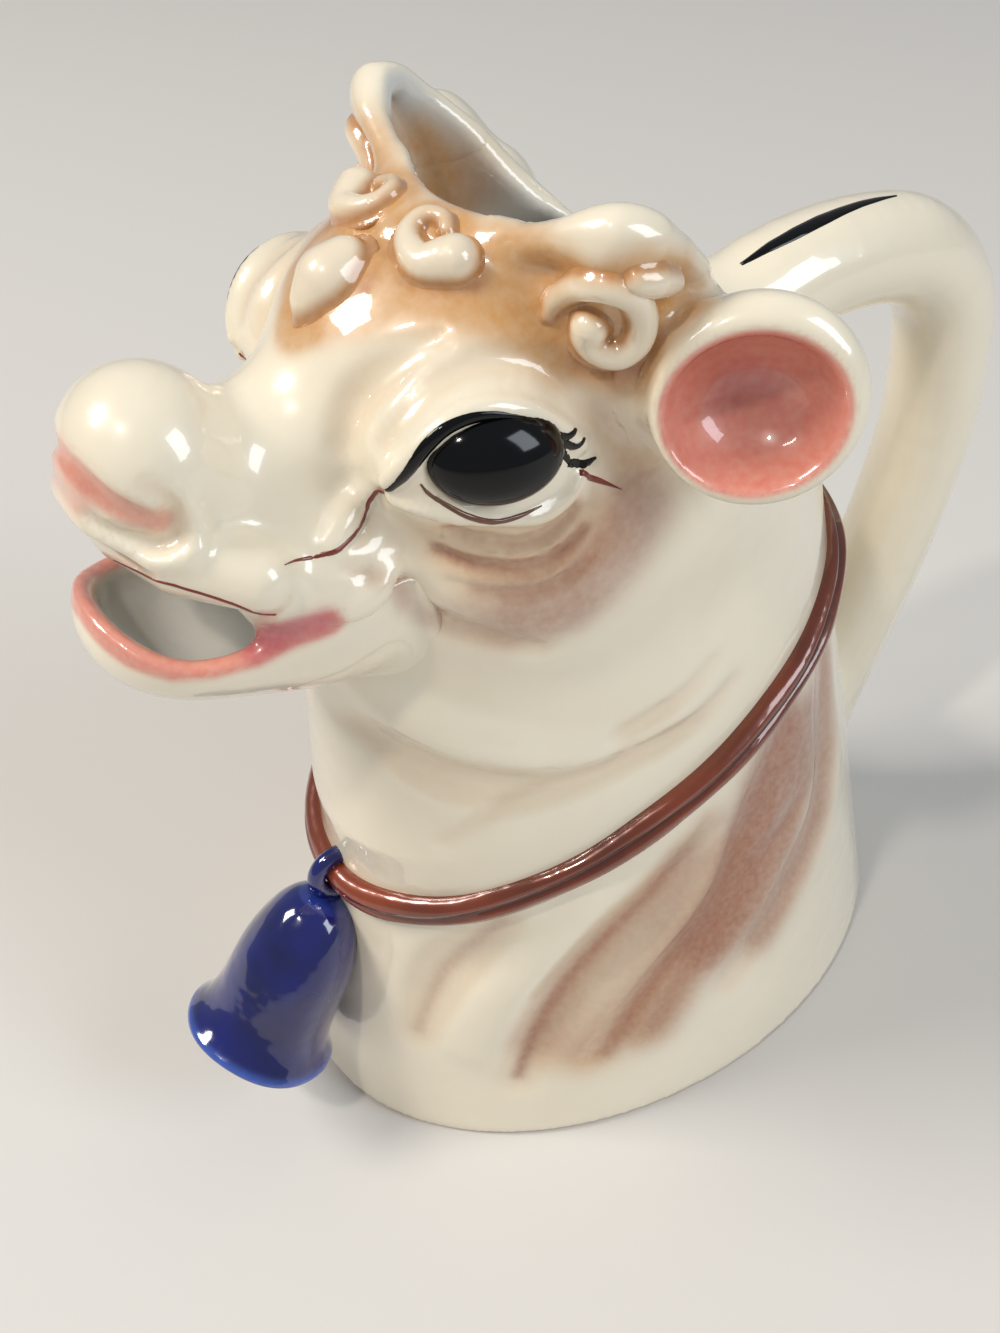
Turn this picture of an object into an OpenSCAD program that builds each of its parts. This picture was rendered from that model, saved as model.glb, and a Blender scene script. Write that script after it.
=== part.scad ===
// Cow head cream jug: a slip-cast neck that stands on its foot, a hollow head
// that is filled through the open crown and pours through the mouth, and the
// pieces luted or sprigged on: jaw, horns, ears, handle, collar, bell, eyes and
// curls. Millimetres. The cow faces -Y, its left side is +X, and the origin is
// the middle of the foot, on the surface that the jug stands on.

/* [Neck] */
// Width of the oval foot, across the shoulders
foot_w = 71; // [60:1:84]
// Length of the oval foot, from the chest to the nape
foot_l = 100; // [88:1:116]
// Thickness of the cast wall
wall = 3.4; // [2.6:0.1:4.2]
// Thickness of the floor
floor_t = 4; // [3:0.5:7]
// Depth of the soft folds in the skin of the neck
fold_depth = 1.5; // [0.4:0.1:1.8]

/* [Collar] */
// Width of the neck at the collar
collar_w = 53; // [48:1:57]
// Length of the neck at the collar, along its slope
collar_l = 83; // [76:1:88]
// Height of the middle of the collar's ring
collar_h = 58; // [52:1:62]
// Distance that the ring's middle leans forward of the foot's
collar_lead = 5.5; // [2:0.5:8]
// Slope of the ring, low in front
collar_slope = 23.5; // [20:0.5:27]
// Thickness of the collar
collar_d = 4.4; // [3:0.1:5.5]

/* [Head] */
// Width of the skull behind the eyes
head_w = 46; // [42:1:50]
// Reach of the muzzle in front of the ring's middle
head_l = 60; // [55:1:65]
// Height of the crown's front edge above the ring's middle
head_h = 73; // [68:1:78]
// Slope of the filling opening, low at the back
crown_slope = 29.5; // [27:0.5:32]

/* [Mouth] */
// Width of the pouring lip
lip_w = 27; // [24:1:30]
// Distance from the lip's edge back to the corners of the mouth
lip_l = 22; // [20:1:25]
// Thickness of the lip
lip_t = 2.8; // [2:0.2:3.4]

/* [Horns and ears] */
// Rise of each horn's tip above its widest place
horn_rise = 5.5; // [4:0.5:7]
// Thickness of a horn
horn_t = 3.6; // [3:0.1:4.6]
// Height of an ear
ear_h = 19; // [17:0.5:21]
// Width of an ear
ear_w = 19.5; // [17:0.5:21]
// Depth of the ear's cup
ear_depth = 7; // [5:0.5:8]
// Thickness of the ear's edge
ear_t = 2.2; // [1.6:0.2:2.8]

/* [Eyes and curls] */
// Length of an eye
eye_l = 12.6; // [10:0.2:14]
// Height of an eye
eye_h = 8.4; // [7:0.2:10]
// Diameter of the round curl in the middle of the forehead
bun_d = 8.4; // [7:0.2:10]
// Outer diameter of a ring curl
ring_d = 8.4; // [7:0.2:9.6]
// Outer diameter of a spiral curl
spiral_d = 9.6; // [8:0.2:11]
// Diameter of a small curl below the horn
knob_d = 4; // [3:0.2:4.6]

/* [Handle] */
// Diameter of the handle
handle_d = 14; // [12:0.5:16]
// Distance from the foot's middle to the handle's furthest bend
handle_reach = 59; // [56:1:64]
// Height of the handle's top run
handle_h = 107; // [103:1:110]

/* [Bell] */
// Diameter of the bell's mouth
bell_d = 21.5; // [18:0.5:24]
// Length of the bell from its mouth to its shoulder
bell_l = 25.5; // [22:0.5:28]
// Thickness of the bell
bell_t = 1.8; // [1.4:0.1:2.4]
// Lean of the bell away from the neck
bell_lean = 32; // [28:1:36]

/* [Hidden] */
glaze = "#efe4cf";
glaze_pink = "#d9877b";
glaze_tan = "#dcb277";
glaze_brown = "#7c3a27";
glaze_blue = "#1c2f8f";
glaze_black = "#16161a";

// Facets: sides of an oval section, of a lobe outside and of a lobe inside
oval_sides = 72;
lobe_sides = 28;
hollow_sides = 20;
// Largest size of any cut, past the whole head
cut_size = head_l + head_h;

// Middle of the collar's ring, from which the head's places are measured
ring_y = -collar_lead;
ring_z = collar_h;

// A place on the head, given as shares of its half width, length and height
function head_at(shares) =
    [head_w / 2 * shares[0], ring_y - head_l * shares[1], ring_z + head_h * shares[2]];
// A size on the head, given the same way
function head_by(shares) = [head_w / 2 * shares[0], head_l * shares[1], head_h * shares[2]];

// Lobes of the modelled head: the place of each middle, then its half sizes, as shares
skull_shares = [[0, 0.04, 0.575], [1, 0.333, 0.33]];
crown_shares = [[0, 0.18, 0.83], [0.9, 0.25, 0.235]];
temple_shares = [[0.48, 0, 0.75], [0.46, 0.183, 0.171]];
brow_shares = [[0, 0.34, 0.8], [0.74, 0.26, 0.165]];
snout_root_shares = [[0, 0.44, 0.66], [0.52, 0.2, 0.155]];
snout_tip_shares = [[0, 0.74, 0.69], [0.39, 0.15, 0.113]];
muzzle_shares = [[0, 0.85, 0.765], [0.42, 0.142, 0.12]];
cheek_shares = [[0.52, 0.23, 0.48], [0.53, 0.28, 0.25]];
socket_shares = [[0.6, 0.36, 0.735], [0.37, 0.19, 0.125]];
flesh_shares = [[0.33, 0.6, 0.55], [0.37, 0.17, 0.12]];
gullet_shares = [[0, 0.46, 0.41], [0.6, 0.15, 0.12]];
// Lobes of the jaw, measured from the corners of the mouth
jaw_tip_shares = [[0, 0.8, 0.52], [0.96, 0.6, 0.13]];
jaw_root_shares = [[0, 0.6, 0.48], [1.08, 0.55, 0.155]];

module lobe(shares, inset, sides) {
    half = head_by(shares[1]);
    translate(head_at(shares[0]))
        scale([half[0] - inset, half[1] - inset, half[2] - inset]) sphere(r = 1, $fn = sides);
}

module both_sides() {
    children();
    mirror([1, 0, 0]) children();
}

// The skin stretched between two lobes. A lobe that another stretch already shows
// is sunk a little, by a number of steps, so that no two skins lie in one place.
sink_step = 0.22;
module stretched(one_shares, one_steps, other_shares, other_steps, inset, sides)
    hull() {
        lobe(one_shares, inset + sink_step * one_steps, sides);
        lobe(other_shares, inset + sink_step * other_steps, sides);
    }

// A point on the foot and a point on the collar's ring, both drawn in by inset
function foot_point(turn, inset) =
    [(foot_w / 2 - inset) * cos(turn), (foot_l / 2 - inset) * sin(turn), inset > 0 ? floor_t : 0];
function collar_point(turn, inset) =
    let (along = (collar_l / 2 - inset) * sin(turn))
    [(collar_w / 2 - inset) * cos(turn), ring_y + along * cos(collar_slope),
     ring_z + along * sin(collar_slope)];

// The folds: the place of each on the collar, in degrees round from the chest, and
// how far round it has swept forward at the foot
folds = [[43, 30], [84, 50], [108, 47], [146, 85]];
fold_width = 8;
fold_end = 0.94;
function fold_sink(from_chest, share) =
    fold_depth * sin(180 * min(share / fold_end, 1)) *
    max([for (fold = folds)
        exp(-pow((from_chest - fold[0] + fold[1] * (1 - share)) / fold_width, 2))]);

// A ring round the neck at a share of the way from the foot to the collar
function neck_ring(share, inset) =
    [for (k = [0 : oval_sides - 1])
        let (turn = 360 * k / oval_sides, from_chest = acos(-sin(turn)),
             sink = inset > 0 ? 0 : fold_sink(from_chest, share),
             foot = foot_point(turn, inset), ring = collar_point(turn, inset),
             out = [cos(turn), sin(turn), 0])
        foot + share * (ring - foot) - sink * out];

// The neck runs on past the collar to the seam where the head is luted on
seam_share = 1.07;
seam_step = 0.01;
neck_rows = 12;
neck_rings = [for (i = [0 : neck_rows]) neck_ring(seam_share * i / neck_rows, 0)];

module ringed(rings) {
    sides = len(rings[0]);
    count = len(rings);
    walls = [for (i = [0 : count - 2], k = [0 : sides - 1])
        let (here = i * sides, next = here + sides, step = (k + 1) % sides)
        each [[here + k, next + k, next + step], [here + k, next + step, here + step]]];
    polyhedron(points = [for (ring = rings) each ring],
               faces = concat(walls, [[for (k = [0 : sides - 1]) k]],
                              [[for (k = [sides - 1 : -1 : 0]) (count - 1) * sides + k]]),
               convexity = 6);
}

// The neck without its hollow, which trims what is luted to it
module neck_plug() ringed(neck_rings);

// The seam, from which the skin of the head is stretched up: a thin disc outside,
// and for a hollow a point in the neck and the ring above it, so that it opens down
module seam_start(inset)
    if (inset > 0) {
        ring = neck_ring(seam_share + seam_step, inset);
        count = len(ring);
        polyhedron(points = concat(ring, [[0, ring_y, ring_z / 2]]),
                   faces = concat([[for (k = [count - 1 : -1 : 0]) k]],
                                  [for (k = [0 : count - 1]) [k, (k + 1) % count, count]]));
    } else {
        ringed([neck_ring(seam_share, inset), neck_ring(seam_share + seam_step, inset)]);
    }

// The head from the seam up, drawn in all round by inset
module head_form(inset, sides) {
    hull() {
        seam_start(inset);
        lobe(skull_shares, inset, sides);
        lobe(gullet_shares, inset, sides);
    }
    stretched(skull_shares, 1, crown_shares, 0, inset, sides);
    stretched(skull_shares, 2, snout_root_shares, 1, inset, sides);
    stretched(crown_shares, 1, brow_shares, 0, inset, sides);
    stretched(brow_shares, 1, snout_root_shares, 0, inset, sides);
    stretched(gullet_shares, 1, snout_root_shares, 2, inset, sides);
    stretched(snout_root_shares, 3, snout_tip_shares, 0, inset, sides);
    stretched(snout_tip_shares, 1, muzzle_shares, 0, inset, sides);
    both_sides() {
        stretched(temple_shares, 0, crown_shares, 2, inset, sides);
        stretched(temple_shares, 1, skull_shares, 3, inset, sides);
        stretched(socket_shares, 0, cheek_shares, 0, inset, sides);
        stretched(flesh_shares, 0, cheek_shares, 1, inset, sides);
        stretched(flesh_shares, 1, snout_tip_shares, 2, inset, sides);
        stretched(cheek_shares, 2, gullet_shares, 2, inset, sides);
    }
}

// Everything above the slope of the crown, or above a slope that lies drop under it
module above_crown(drop)
    translate([0, ring_y - head_l * crown_front_share, ring_z + head_h])
        rotate([-crown_slope, 0, 0])
            translate([-cut_size, -cut_size, -drop]) cube(2 * cut_size);
crown_front_share = 0.26;

// The filling opening: an oval shaft through the crown into the hollow
opening_shares = [[0, 0.03, 0.63], [0.8, 0.2]];
module opening_shaft()
    translate(head_at(opening_shares[0]))
        scale([head_w / 2 * opening_shares[1][0], head_l * opening_shares[1][1], 1])
            cylinder(r = 1, h = head_h, $fn = lobe_sides);

// Everything above the edge of the lower lip
lip_slope = 8;
lip_share = 0.512;
module above_lip()
    translate([0, ring_y - head_l * jaw_root_shares[0][1], ring_z + head_h * lip_share])
        rotate([-lip_slope, 0, 0])
            translate([-cut_size, -cut_size, 0]) cube(2 * cut_size);

module jaw_lobe(shares, inset, sides) {
    place = head_at(shares[0]);
    translate(place)
        scale([lip_w / 2 * shares[1][0] - inset, lip_l * shares[1][1] - inset,
               head_h * shares[1][2] - inset])
            sphere(r = 1, $fn = sides);
}

// The jaw, drawn in by inset. Its hollow is also the way that the cream takes
// out of the head.
module jaw_form(inset, sides)
    hull() {
        jaw_lobe(jaw_tip_shares, inset, sides);
        jaw_lobe(jaw_root_shares, inset, sides);
    }

module neck_shell()
    color(glaze)
        ringed(concat(neck_rings, [neck_ring(seam_share, wall), neck_ring(0, wall)]));

module head_shell()
    color(glaze)
        difference() {
            head_form(0, lobe_sides);
            difference() {
                head_form(wall, hollow_sides);
                above_crown(wall);
            }
            opening_shaft();
            above_crown(0);
            jaw_form(lip_t, hollow_sides);
            hull() {
                lobe(snout_root_shares, wall, hollow_sides);
                jaw_lobe(jaw_root_shares, lip_t, hollow_sides);
            }
        }

module lower_jaw()
    color(glaze_pink)
        difference() {
            jaw_form(0, lobe_sides);
            jaw_form(lip_t, hollow_sides);
            above_lip();
            head_form(0, lobe_sides);
        }

// A tube of round section along points that lie in one plane
module swept(points, radius, normal, sides) {
    count = len(points);
    run = function(i) points[min(i + 1, count - 1)] - points[max(i - 1, 0)];
    ringed([for (i = [0 : count - 1])
        let (side = cross(normal, run(i) / norm(run(i))))
        [for (k = [0 : sides - 1])
            let (turn = 360 * k / sides)
            points[i] + radius * (cos(turn) * side + sin(turn) * normal)]]);
}

// Points between chosen ones on a smooth curve through them
function curve_point(a, b, c, d, t) =
    0.5 * (2 * b + (c - a) * t + (2 * a - 5 * b + 4 * c - d) * t * t
           + (3 * b - a - 3 * c + d) * t * t * t);
function smooth(points, steps) =
    [for (i = [0 : len(points) - 2], k = [0 : steps - 1])
        curve_point(points[max(i - 1, 0)], points[i], points[i + 1],
                    points[min(i + 2, len(points) - 1)], k / steps),
     points[len(points) - 1]];

// The handle's line, as shares of its reach and of its height. It starts inside
// the back of the skull and ends inside the nape.
handle_shares = [[0.4, 0.985], [0.58, 1], [0.75, 0.985], [0.89, 0.935], [0.97, 0.86],
                 [1, 0.73], [0.96, 0.57], [0.87, 0.4]];
handle_sides = 18;
handle_steps = 3;
handle_top_shares = [0, 0, 0.6];
handle_nape_shares = [0.44, 0.25];
handle_end_share = 0.125;
handle_line = smooth(concat(
    [head_at(handle_top_shares)],
    [for (s = handle_shares) [0, handle_reach * s[0], handle_h * s[1]]],
    [[0, foot_l * handle_nape_shares[0], handle_h * handle_nape_shares[1]],
     [0, foot_l / 2 - handle_d, handle_h * handle_end_share]]),
    handle_steps);

module handle()
    color(glaze)
        difference() {
            swept(handle_line, handle_d / 2, [1, 0, 0], handle_sides);
            head_form(0, lobe_sides);
            neck_plug();
        }

// Turns what is drawn facing up to face outward from the left of the head
module facing(down_from_top, forward)
    rotate([0, down_from_top, -forward]) children();

ear_share = [1.36, 0.02, 0.79];
ear_cup_share = [1.1, -0.045, 0.797];
ear_root_share = [0.8, -0.04, 0.83];
ear_root_d = 12;
ear_down = 76;
ear_forward = 36;
module ear_form()
    hull() {
        translate(head_at(ear_share)) facing(ear_down, ear_forward)
            scale([ear_h / 2, ear_w / 2, ear_t]) sphere(r = 1, $fn = lobe_sides);
        translate(head_at(ear_cup_share)) sphere(d = min(ear_h, ear_w) - ear_t / 2, $fn = lobe_sides);
        translate(head_at(ear_root_share)) sphere(d = ear_root_d, $fn = hollow_sides);
    }
module ear()
    color(glaze)
        difference() {
            ear_form();
            translate(head_at(ear_share)) facing(ear_down, ear_forward)
                translate([0, 0, ear_t])
                    scale([ear_h / 2 - ear_t, ear_w / 2 - ear_t, ear_depth])
                        sphere(r = 1, $fn = hollow_sides);
            head_form(0, lobe_sides);
            horn_form();
        }
module ear_left() ear();
module ear_right() mirror([1, 0, 0]) ear();

// Feet of a horn on the opening's edge, in front, under the tip and behind
horn_front_share = [0.58, 0.24, 0.97];
horn_tip_share = [0.93, 0.18, 0.962];
horn_back_share = [0.84, -0.03, 0.87];
module horn_form()
    hull() {
        translate(head_at(horn_front_share)) sphere(d = horn_t, $fn = hollow_sides);
        translate(head_at(horn_back_share)) sphere(d = horn_t, $fn = hollow_sides);
        translate(head_at(horn_tip_share)) sphere(d = horn_t, $fn = hollow_sides);
        translate(head_at(horn_tip_share) + [0, 0, horn_rise])
            sphere(d = horn_t, $fn = hollow_sides);
    }
module horn()
    color(glaze)
        difference() {
            horn_form();
            difference() {
                head_form(0, lobe_sides);
                above_crown(0);
            }
            opening_shaft();
        }
module horn_left() horn();
module horn_right() mirror([1, 0, 0]) horn();

// The collar: a cord with a flat inside that lies on the skin of the neck
collar_arc = 8;
function collar_ring(turn) =
    let (middle = collar_point(turn, 0), up = middle - foot_point(turn, 0),
         run = collar_point(turn + 1, 0) - middle, rise = up / norm(up),
         out = cross(run, rise) / norm(cross(run, rise)))
    [for (k = [0 : collar_arc])
        let (lean = 180 * k / collar_arc)
        middle + collar_d / 2 * (sin(lean) * out - cos(lean) * rise)];
module collar() {
    rings = [for (k = [0 : oval_sides - 1]) collar_ring(360 * k / oval_sides)];
    corners = collar_arc + 1;
    color(glaze_brown)
        polyhedron(points = [for (ring = rings) each ring],
                   faces = [for (i = [0 : oval_sides - 1], k = [0 : corners - 1])
                       let (here = i * corners, next = ((i + 1) % oval_sides) * corners,
                            step = (k + 1) % corners)
                       each [[here + k, next + step, next + k], [here + k, here + step, next + step]]],
                   convexity = 8);
}

loop_wire = 2.4;
loop_r = (collar_d + loop_wire) / 2;
module at_collar_front()
    translate(collar_point(-90, 0)) rotate([180 - bell_lean, 0, 0]) children();

// Outside of the bell from its shoulder to its mouth, as shares of its length
// and of its mouth's half width
bell_shares = [[0, 0.12], [0.02, 0.3], [0.07, 0.45], [0.16, 0.58], [0.3, 0.7], [0.48, 0.77],
               [0.66, 0.79], [0.8, 0.82], [0.9, 0.9], [0.96, 1], [1, 0.97]];
bell_sides = 40;
module bell_outline(inset)
    polygon(concat(
        [[0, inset]],
        [for (s = bell_shares) [max(bell_d / 2 * s[1] - inset, 0.01), inset + bell_l * s[0]]],
        [[0, inset + bell_l]]));
module loop_form()
    translate(collar_point(-90, 0)) rotate([0, 90, 0])
        rotate_extrude($fn = lobe_sides)
            translate([loop_r, 0]) circle(d = loop_wire, $fn = 2 * wire_sides);
module bell()
    color(glaze_blue)
        difference() {
            at_collar_front() translate([0, 0, loop_r])
                rotate_extrude($fn = bell_sides)
                    difference() {
                        bell_outline(0);
                        bell_outline(bell_t);
                    }
            loop_form();
            neck_plug();
        }
module bell_loop()
    color(glaze_blue)
        difference() {
            loop_form();
            neck_plug();
            collar();
        }

eye_share = [0.91, 0.415, 0.775];
eye_down = 69;
eye_forward = 24;
eye_rise = 3.4;
module eye()
    color(glaze_black)
        difference() {
            translate(head_at(eye_share)) facing(eye_down, eye_forward)
                scale([eye_h / 2, eye_l / 2, eye_rise]) sphere(r = 1, $fn = lobe_sides);
            head_form(0, lobe_sides);
        }
module eye_left() eye();
module eye_right() mirror([1, 0, 0]) eye();

bun_share = [0, 0.475, 0.925];
module curl_middle()
    color(glaze_tan)
        difference() {
            translate(head_at(bun_share)) scale([1, 1, 1.2]) sphere(d = bun_d, $fn = hollow_sides);
            head_form(0, lobe_sides);
        }

// A curl that rolls in from an outer diameter, losing a share of its radius over
// its turns, and lies flat on the hair
curl_steps = 16;
wire_sides = 10;
module rolled(outer_d, wire, turns, loss, share, down_from_top, forward)
    translate(head_at(share)) facing(down_from_top, forward) {
        line = [for (k = [0 : curl_steps])
            let (turn = 360 * turns * k / curl_steps,
                 r = (outer_d - wire) / 2 * (1 - loss * k / curl_steps))
            [r * cos(turn), r * sin(turn), 0]];
        swept(line, wire / 2, [0, 0, 1], wire_sides);
    }

ring_share = [0.32, 0.37, 0.985];
ring_down = 36;
ring_forward = 59;
ring_wire_share = 0.36;
ring_turns = 0.95;
ring_loss = 0.35;
module curl_ring()
    color(glaze_tan)
        difference() {
            rolled(ring_d, ring_d * ring_wire_share, ring_turns, ring_loss, ring_share,
                   ring_down, ring_forward);
            head_form(0, lobe_sides);
        }
module curl_ring_left() curl_ring();
module curl_ring_right() mirror([1, 0, 0]) curl_ring();

spiral_share = [0.885, 0.205, 0.87];
spiral_down = 70;
spiral_forward = 6;
spiral_wire_share = 0.2;
spiral_turns = 1.3;
spiral_loss = 0.7;
module curl_spiral()
    color(glaze_tan)
        difference() {
            rolled(spiral_d, spiral_d * spiral_wire_share, spiral_turns, spiral_loss,
                   spiral_share, spiral_down, spiral_forward);
            head_form(0, lobe_sides);
        }
module curl_spiral_left() curl_spiral();
module curl_spiral_right() mirror([1, 0, 0]) curl_spiral();

knob_share = [0.87, 0.09, 0.868];
module curl_knob()
    color(glaze_tan)
        difference() {
            translate(head_at(knob_share)) sphere(d = knob_d, $fn = hollow_sides);
            head_form(0, lobe_sides);
            ear_form();
        }
module curl_knob_left() curl_knob();
module curl_knob_right() mirror([1, 0, 0]) curl_knob();

neck_shell();
head_shell();
lower_jaw();
handle();
ear_left();
ear_right();
horn_left();
horn_right();
collar();
bell();
bell_loop();
eye_left();
eye_right();
curl_middle();
curl_ring_left();
curl_ring_right();
curl_spiral_left();
curl_spiral_right();
curl_knob_left();
curl_knob_right();
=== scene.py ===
import math

import bpy
import numpy as np
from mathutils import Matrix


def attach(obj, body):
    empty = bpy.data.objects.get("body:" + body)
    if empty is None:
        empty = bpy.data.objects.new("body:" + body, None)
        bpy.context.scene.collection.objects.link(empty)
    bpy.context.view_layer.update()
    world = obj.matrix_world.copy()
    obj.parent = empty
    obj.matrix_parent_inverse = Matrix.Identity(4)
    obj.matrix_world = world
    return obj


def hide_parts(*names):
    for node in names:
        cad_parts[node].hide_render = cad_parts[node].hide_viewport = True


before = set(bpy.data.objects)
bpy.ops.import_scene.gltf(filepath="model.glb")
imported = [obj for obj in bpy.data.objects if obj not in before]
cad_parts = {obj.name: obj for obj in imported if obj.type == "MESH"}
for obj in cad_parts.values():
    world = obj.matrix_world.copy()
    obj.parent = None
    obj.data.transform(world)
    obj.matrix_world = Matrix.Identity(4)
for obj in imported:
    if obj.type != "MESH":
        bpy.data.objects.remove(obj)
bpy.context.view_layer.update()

import openvdb
from mathutils import Matrix, Vector

# the CAD nodes come in selected
for thing in bpy.context.selected_objects:
    thing.select_set(False)


# Neck
#
# The neck on its oval foot is slip-cast earthenware, hollow, with a floor and with
# soft folds of skin from the mould. It is luted to the head under the collar, and
# its colours are airbrushed on under a clear glaze.

# Cast forms run into each other without an edge, so a form here is a distance in
# millimetres, below zero in the clay, and p holds x, y and z. The cow is the same
# on both sides, so x is the distance from the middle plane.
def join(a, b, k):
    """Two forms as one, with a fillet about k wide."""
    h = np.maximum(k - np.abs(a - b), 0) / k
    return np.minimum(a, b) - h * h * k / 4


def carve(a, b, k):
    """Form a with form b cut out of it, and its edge rounded by about k."""
    return -join(-a, b, k)


def egg(p, middle, radii, axes=None):
    """A lump with three radii, along the cow's axes or its own."""
    x, y, z = p[0] - middle[0], p[1] - middle[1], p[2] - middle[2]
    if axes is not None:
        x, y, z = (x * v[0] + y * v[1] + z * v[2] for v in axes)
    a = np.sqrt((x / radii[0]) ** 2 + (y / radii[1]) ** 2 + (z / radii[2]) ** 2)
    b = np.sqrt((x / radii[0] ** 2) ** 2 + (y / radii[1] ** 2) ** 2 + (z / radii[2] ** 2) ** 2)
    return a * (a - 1) / (b + 1e-9)


def strand(p, points, radii):
    """A roll of clay along a line, with a radius at each of its points."""
    if np.isscalar(radii):
        radii = [radii] * len(points)
    best = None
    for a, b, ra, rb in zip(points[:-1], points[1:], radii[:-1], radii[1:]):
        v = np.subtract(b, a)
        q = [p[i] - a[i] for i in range(3)]
        t = np.clip((q[0] * v[0] + q[1] * v[1] + q[2] * v[2]) / max(v @ v, 1e-9), 0, 1)
        d = np.sqrt(sum((q[i] - t * v[i]) ** 2 for i in range(3))) - (ra + t * (rb - ra))
        best = d if best is None else np.minimum(best, d)
    return best


# The neck is an oval cone that leans forward from the foot, and meets the head on
# the collar's sloping plane.
FOOT_LONG, FOOT_WIDE = 50, 35.4  # half the length and the width of the foot
CHEST_LEAN, NAPE_LEAN, SIDE_LEAN = 0.155, 0.235, 0.15  # how much it draws in per mm of height
NECK_TOP = 98
COLLAR = (0, -5.47, 58.07)
COLLAR_SLOPE = math.radians(23.4)
COLLAR_UP = (0, -math.sin(COLLAR_SLOPE), math.cos(COLLAR_SLOPE))


def neck_form(p):
    z = np.clip(p[2], -2, 120)
    front, back = CHEST_LEAN * z - FOOT_LONG, FOOT_LONG - NAPE_LEAN * z
    middle = (0, (front + back) / 2, 0)
    cone = egg(p, middle, (FOOT_WIDE - SIDE_LEAN * z, (back - front) / 2, np.inf))
    return carve(cone, NECK_TOP - p[2], 10)


def collar_side(p):
    """Above zero over the collar's plane."""
    return sum((p[i] - COLLAR[i]) * COLLAR_UP[i] for i in range(3))


# The neck runs into the head, so the head's form is here too: its lumps in the
# order in which they are laid on, each with its place, its radii and its fillet.
BACK_OF_HEAD = (0, -6.5, 101), (23.6, 21.5, 24.2)
HEAD_LUMPS = (
    (egg, (0, -17, 118), (19, 15, 14.5), 6),  # crown
    (egg, (0, -26, 116.4), (16.5, 14.5, 11.5), 5),  # forehead
    (strand, [(0, -31, 107), (0, -50, 108.2)], [11.5, 8.6], 6),  # bridge of the nose
    (egg, (0, -56.2, 113.6), (9.5, 8.6, 9.3), 3),  # nose
    (egg, (13, -19.5, 96.5), (11, 16.5, 17), 5),  # cheek
    (egg, (14.5, -28.5, 113), (7.8, 10.6, 9.2), 4),  # brow
    (egg, (7.8, -43, 100), (8.2, 11, 8), 4),  # jowl
    (strand, [(0, -59, 106.8), (7, -57, 106.2), (12.3, -51.5, 104.4)], [4.2, 3.9, 3.4],
     2.5),  # upper lip
    (strand, [(0, -32, 87), (0, -22, 60)], [11, 20], 8),  # throat
    (strand, [(14.3, -11, 118), (20.2, -15.4, 131)], [8.5, 4.0], 4))  # horn


def head_form(p):
    d = egg(p, *BACK_OF_HEAD)
    for lump, place, size, fillet in HEAD_LUMPS:
        d = join(d, lump(p, place, size), fillet)
    return d


def whole_form(p):
    return join(neck_form(p), head_form(p), 8)


# The crown is cut on a slope that falls to the back and rises at both sides into
# the horns, and its edge is rounded with a thin roll.
CROWN_FRONT = (-21.5, 130)
CROWN_SLOPE = 0.6
ACROSS_SLOPE = 0.82  # turns a height over the slope into a distance
HORN = (22.5, -15.5)
HORN_RISE = 11.0
RISE_ACROSS, RISE_FRONT, RISE_BACK = 130, 45, 190  # how softly it falls away, in square mm
RIM = [(0, -20.4, 128.4), (7, -20.6, 128.8), (12.5, -20.4, 130.2), (17.6, -19.4, 132.2),
       (21.6, -17, 133.6), (22.6, -13.5, 132.4), (21.6, -9.6, 129.5), (19.5, -5.5, 125.6),
       (17.6, -3, 122.2), (15.2, -0.8, 118.7), (12.2, 1.2, 115.8), (7, 3.6, 113), (0, 5.2, 112)]
RIM_RADIUS = 1.5


def crown_side(p):
    """Above zero over the crown's cut."""
    along = np.where(p[1] > HORN[1], RISE_BACK, RISE_FRONT)
    rise = HORN_RISE * np.exp(-(p[0] - HORN[0]) ** 2 / RISE_ACROSS - (p[1] - HORN[1]) ** 2 / along)
    return (p[2] - CROWN_FRONT[1] + CROWN_SLOPE * (p[1] - CROWN_FRONT[0]) - rise) * ACROSS_SLOPE


def body_form(p):
    d = carve(whole_form(p), -crown_side(p), 2.2)
    return join(d, strand(p, RIM, RIM_RADIUS), 3)


# The room inside leaves the wall and the floor that a slip-cast jug has. It opens
# through the crown, with a scoop inside each horn, and forward to the mouth.
WALL = 3.4
FLOOR = 4


def oval_shaft(p, middle, wide, deep):
    """An upright oval shaft, from its middle's y and its half width and depth."""
    return (np.sqrt((p[0] / wide) ** 2 + ((p[1] - middle) / deep) ** 2) - 1) * deep


def mouth_form(p):
    d = egg(p, (0, -53.5, 96), (10.4, 10.6, 7))
    d = join(d, egg(p, (0, -41.5, 93.5), (12, 9.6, 8.6)), 6)
    return join(carve(d, 101.2 - p[2], 2), strand(p, [(0, -38, 95), (0, -16, 98)], [8, 12]), 3)


def hollow_form(p):
    d = carve(whole_form(p) + WALL, p[2] - FLOOR, 1.5)
    behind_crown = np.maximum(5.5 - p[1], 104 - p[2])  # this stays whole
    d = carve(d, behind_crown, 5)
    wide_front = carve(oval_shaft(p, -7.3, 18.6, 12.3), p[2] - 108, 6)
    d = join(d, carve(wide_front, -11 - p[1], 4), 4)
    d = join(d, carve(oval_shaft(p, -9, 15.5, 12.2), p[2] - 107, 4), 3)
    scoop = strand(p, [(12.5, -10.5, 114), (15.4, -12.8, 140)], [6.5, 5.0])
    return join(join(d, scoop, 3), mouth_form(p), 2)


def columns(points):
    """A list of points as the x, y and z that a form reads."""
    q = np.asarray(points, float).reshape(-1, 3)
    return np.abs(q[:, 0]), q[:, 1], q[:, 2]


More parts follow.
